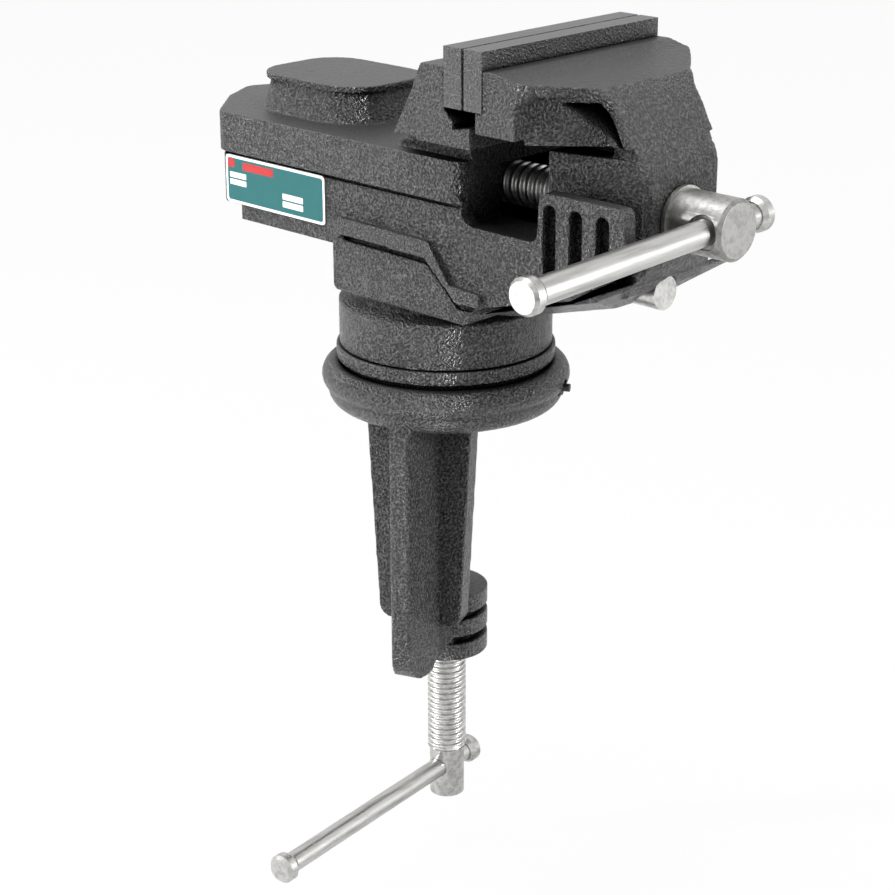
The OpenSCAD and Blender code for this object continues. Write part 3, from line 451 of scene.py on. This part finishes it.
def serrated_plate(node, body, face_x, back_x):
    """A jaw plate with a cross-cut face, chamfered round the face and bored for its two screws."""
    low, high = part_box(node)
    step, pitch, depth, chamfer = 0.4 * MM, 1.6 * MM, 0.32 * MM, 0.3 * MM
    across, upright = spaced(low.y, high.y, step), spaced(low.z, high.z, step)
    inward = 1 if back_x > face_x else -1
    form = bmesh.new()
    grid = []
    for i, y in enumerate(across):
        row = []
        for k, z in enumerate(upright):
            border = i in (0, len(across) - 1) or k in (0, len(upright) - 1)
            near = min(i, len(across) - 1 - i, k, len(upright) - 1 - k)
            cuts = max(abs(((y + z) / pitch) % 1 * 2 - 1), abs(((y - z) / pitch) % 1 * 2 - 1))
            sunk = chamfer if border else depth * cuts if near > 2 else 0
            row.append(form.verts.new((face_x + inward * sunk, y, z)))
        grid.append(row)
    for left, right in zip(grid, grid[1:]):
        for k in range(len(upright) - 1):
            form.faces.new((left[k], left[k + 1], right[k + 1], right[k]))
    rim = [e for e in form.edges if e.is_boundary]
    skirt = bmesh.ops.extrude_edge_only(form, edges=rim)["geom"]
    for vert in (g for g in skirt if isinstance(g, bmesh.types.BMVert)):
        vert.co.x = back_x
    bmesh.ops.holes_fill(form, edges=[e for e in form.edges if e.is_boundary])
    bmesh.ops.recalc_face_normals(form, faces=form.faces)
    mesh = bpy.data.meshes.new(node + "_face")
    form.to_mesh(mesh)
    form.free()
    bores = []
    for side in (-1, 1):
        for radius, depth_mm in PLATE_BORES_MM:
            start = (face_x - inward * MM, side * PLATE_SCREW_Y, PLATE_SCREW_Z)
            mesh_bore = revolved("bore", start, (inward, 0, 0), [0, MM + depth_mm * MM],
                                 lambda place, angle, r=radius: r * MM, 48)
            bore = bpy.data.objects.new("bore", mesh_bore)
            scene.collection.objects.link(bore)
            bores.append(bore)
    mesh = changed_mesh(mesh, without(bores))
    for bore in bores:
        bpy.data.objects.remove(bore)
    mesh.shade_flat()
    piece = link(node + "_cut", mesh, JAW_STEEL, body)
    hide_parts(node)


low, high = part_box("fixed_jaw_plate")
serrated_plate("fixed_jaw_plate", "head", high.x, low.x)
low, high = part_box("moving_jaw_plate")
serrated_plate("moving_jaw_plate", "moving_jaw", low.x, high.x)


def finish_nodes(material, *names):
    """Gives carried-over nodes their material."""
    for name in names:
        for entry in nodes[name].material_slots:
            entry.material = material


finish_nodes(ZINC, "guide_rod", "guide_rod_pin", "spindle_nut", "spindle_nut_pin", "spindle_washer",
             "spindle_retaining_ring", "clamp_pad", "swivel_plate", "spindle_bar_near_end",
             "spindle_bar_far_end", "clamp_bar_near_end", "clamp_bar_far_end")
finish_nodes(BAR_ZINC, "spindle_bar")
finish_nodes(CLAMP_BAR_ZINC, "clamp_bar")
finish_nodes(BLACK_STEEL, "fixed_jaw_screws", "moving_jaw_screws", "clamp_pad_washer",
             "swivel_bolt", "swivel_lock_screw", "swivel_friction_ring")


# Sticker

def rounded_plate(form, low_x, low_z, high_x, high_z, corner, back_y, front_y, material_index):
    """A thin plate with rounded corners on the near side of the body."""
    outline = []
    right, left = high_x - corner, low_x + corner
    upper, lower = high_z - corner, low_z + corner
    for centre_x, centre_z, turn in ((right, upper, 0), (left, upper, 90),
                                     (left, lower, 180), (right, lower, 270)):
        for k in range(7):
            angle = math.radians(turn + 15 * k)
            outline.append((centre_x + corner * math.cos(angle),
                            centre_z + corner * math.sin(angle)))
    front = [form.verts.new((x, front_y, z)) for x, z in outline]
    back = [form.verts.new((x, back_y, z)) for x, z in outline]
    faces = [form.faces.new(front), form.faces.new(list(reversed(back)))]
    for k in range(len(outline)):
        after = (k + 1) % len(outline)
        faces.append(form.faces.new((front[after], front[k], back[k], back[after])))
    for face in faces:
        face.material_index = material_index


STICKER_FACE_Y = -25.4 * MM
STICKER_BACK_Y = STICKER_FACE_Y + 0.3 * MM
FILM = 0.12 * MM
form = bmesh.new()
# Each layer: low and high corner in x and z, corner radius, thickness in films, coat
layers = (
    (-50.9, 46.3, -15.3, 58.3, 1.0, 1.6, 0), (-50.2, 47.0, -16.0, 57.6, 0.7, 1.9, 1),
    (-44.6, 55.0, -33.4, 57.0, 0.3, 2.2, 2), (-50.0, 55.2, -47.6, 57.4, 0.4, 2.2, 2),
    (-49.4, 50.9, -43.4, 52.3, 0.2, 2.2, 0), (-49.4, 52.7, -43.4, 54.1, 0.2, 2.2, 0),
    (-30.2, 48.3, -22.9, 49.8, 0.2, 2.2, 0), (-30.2, 50.2, -22.9, 51.7, 0.2, 2.2, 0),
)
for low_x, low_z, high_x, high_z, corner, film, index in layers:
    rounded_plate(form, low_x * MM, low_z * MM, high_x * MM, high_z * MM, corner * MM,
                  STICKER_BACK_Y, STICKER_FACE_Y - FILM * film, index)
bmesh.ops.recalc_face_normals(form, faces=form.faces)
mesh = bpy.data.meshes.new("sticker")
form.to_mesh(mesh)
form.free()
link("plain_sticker", mesh, None, "head")
for coat in (plain_coat("sticker_white", (0.72, 0.74, 0.74)),
             plain_coat("sticker_teal", (0.001, 0.1, 0.105)),
             plain_coat("sticker_red", (0.42, 0.02, 0.02))):
    mesh.materials.append(coat)


# Stage

def pale_surface(name, colour, own_light=0.95):
    """A pale floor that the camera sees nearly white; it still takes the object's shadow."""
    material, tree, shader, place = new_material(name)
    tree.links.new(mixed(tree, noise(tree, place, 60.0), tuple(c * 0.985 for c in colour), colour),
                   shader.inputs["Base Color"])
    shader.inputs["Roughness"].default_value = 0.9
    glow = tree.nodes.new("ShaderNodeEmission")
    blend = tree.nodes.new("ShaderNodeMixShader")
    to_camera = tree.nodes.new("ShaderNodeLightPath").outputs["Is Camera Ray"]
    tree.links.new(multiplied(tree, to_camera, own_light), blend.inputs["Fac"])
    tree.links.new(shader.outputs["BSDF"], blend.inputs[1])
    tree.links.new(glow.outputs["Emission"], blend.inputs[2])
    out = next(n for n in tree.nodes if n.type == "OUTPUT_MATERIAL")
    tree.links.new(blend.outputs["Shader"], out.inputs["Surface"])
    return material


# Low enough to clear the clamp screw at its lowest place
FLOOR_Z = -0.125
floor = bpy.data.meshes.new("floor")
HALF = 4.0
floor.from_pydata([(x * HALF, y * HALF, FLOOR_Z) for x, y in ((-1, -1), (1, -1), (1, 1), (-1, 1))],
                  [], [(0, 1, 2, 3)])
floor.materials.append(pale_surface("floor_white", (0.8, 0.8, 0.8)))
floor = bpy.data.objects.new("floor", floor)
scene.collection.objects.link(floor)

# The sky is white to the camera and in reflections, and lights the object only a little
SKY_LIGHT = 0.15
world = bpy.data.worlds.new("studio")
scene.world = world
world.use_nodes = True
tree = world.node_tree
tree.nodes.clear()
path = tree.nodes.new("ShaderNodeLightPath")
seen = path.outputs["Is Camera Ray"]
for other in ("Is Glossy Ray", "Is Transmission Ray"):
    add = tree.nodes.new("ShaderNodeMath")
    add.operation = "MAXIMUM"
    tree.links.new(seen, add.inputs[0])
    tree.links.new(path.outputs[other], add.inputs[1])
    seen = add.outputs[0]
strength = tree.nodes.new("ShaderNodeMath")
strength.operation = "MULTIPLY_ADD"
tree.links.new(seen, strength.inputs[0])
strength.inputs[1].default_value = 1 - SKY_LIGHT
strength.inputs[2].default_value = SKY_LIGHT
sky = tree.nodes.new("ShaderNodeBackground")
sky.inputs["Color"].default_value = (1, 1, 1, 1)
tree.links.new(strength.outputs[0], sky.inputs["Strength"])
tree.links.new(sky.outputs[0], tree.nodes.new("ShaderNodeOutputWorld").inputs["Surface"])


def softbox(name, place, target, size, power):
    """A rectangular lamp turned to a target; power is in watts."""
    lamp = bpy.data.lights.new(name, "AREA")
    lamp.shape = "RECTANGLE"
    lamp.size, lamp.size_y = size
    lamp.energy = power
    obj = bpy.data.objects.new(name, lamp)
    obj.location = place
    obj.rotation_euler = (Vector(target) - Vector(place)).to_track_quat("-Z", "Y").to_euler()
    scene.collection.objects.link(obj)


AIM = (0.0, 0.0, 0.03)
softbox("top_softbox", (-0.15, -0.1, 0.85), AIM, (0.6, 0.6), 5.6)
softbox("left_softbox", (-0.62, -0.78, 0.2), AIM, (0.1, 0.25), 15.5)
softbox("right_softbox", (0.8, 0.35, 0.15), AIM, (0.1, 0.3), 6.5)


# Camera

AZIMUTH, ELEVATION, ROLL = (math.radians(a) for a in (43.91, 20.67, -0.13))
PLACE = (0.3602, -0.3737, 0.1825)
FOCAL_PIXELS = 2203.26
back = Vector((math.sin(AZIMUTH) * math.cos(ELEVATION), -math.cos(AZIMUTH) * math.cos(ELEVATION),
               math.sin(ELEVATION)))
right = Vector((math.cos(AZIMUTH), math.sin(AZIMUTH), 0))
up = back.cross(right)
side = right * math.cos(ROLL) + up * math.sin(ROLL)
top = up * math.cos(ROLL) - right * math.sin(ROLL)
camera_data = bpy.data.cameras.new("camera")
camera_data.sensor_width = 36.0
camera_data.lens = camera_data.sensor_width * FOCAL_PIXELS / PHOTO_PIXELS
camera_data.clip_start = 0.01
camera = bpy.data.objects.new("camera", camera_data)
turned = Matrix((side, top, back)).transposed().to_4x4()
camera.matrix_world = Matrix.Translation(PLACE) @ turned
scene.collection.objects.link(camera)
scene.camera = camera
scene.view_settings.view_transform = "Standard"

bpy.context.view_layer.update()
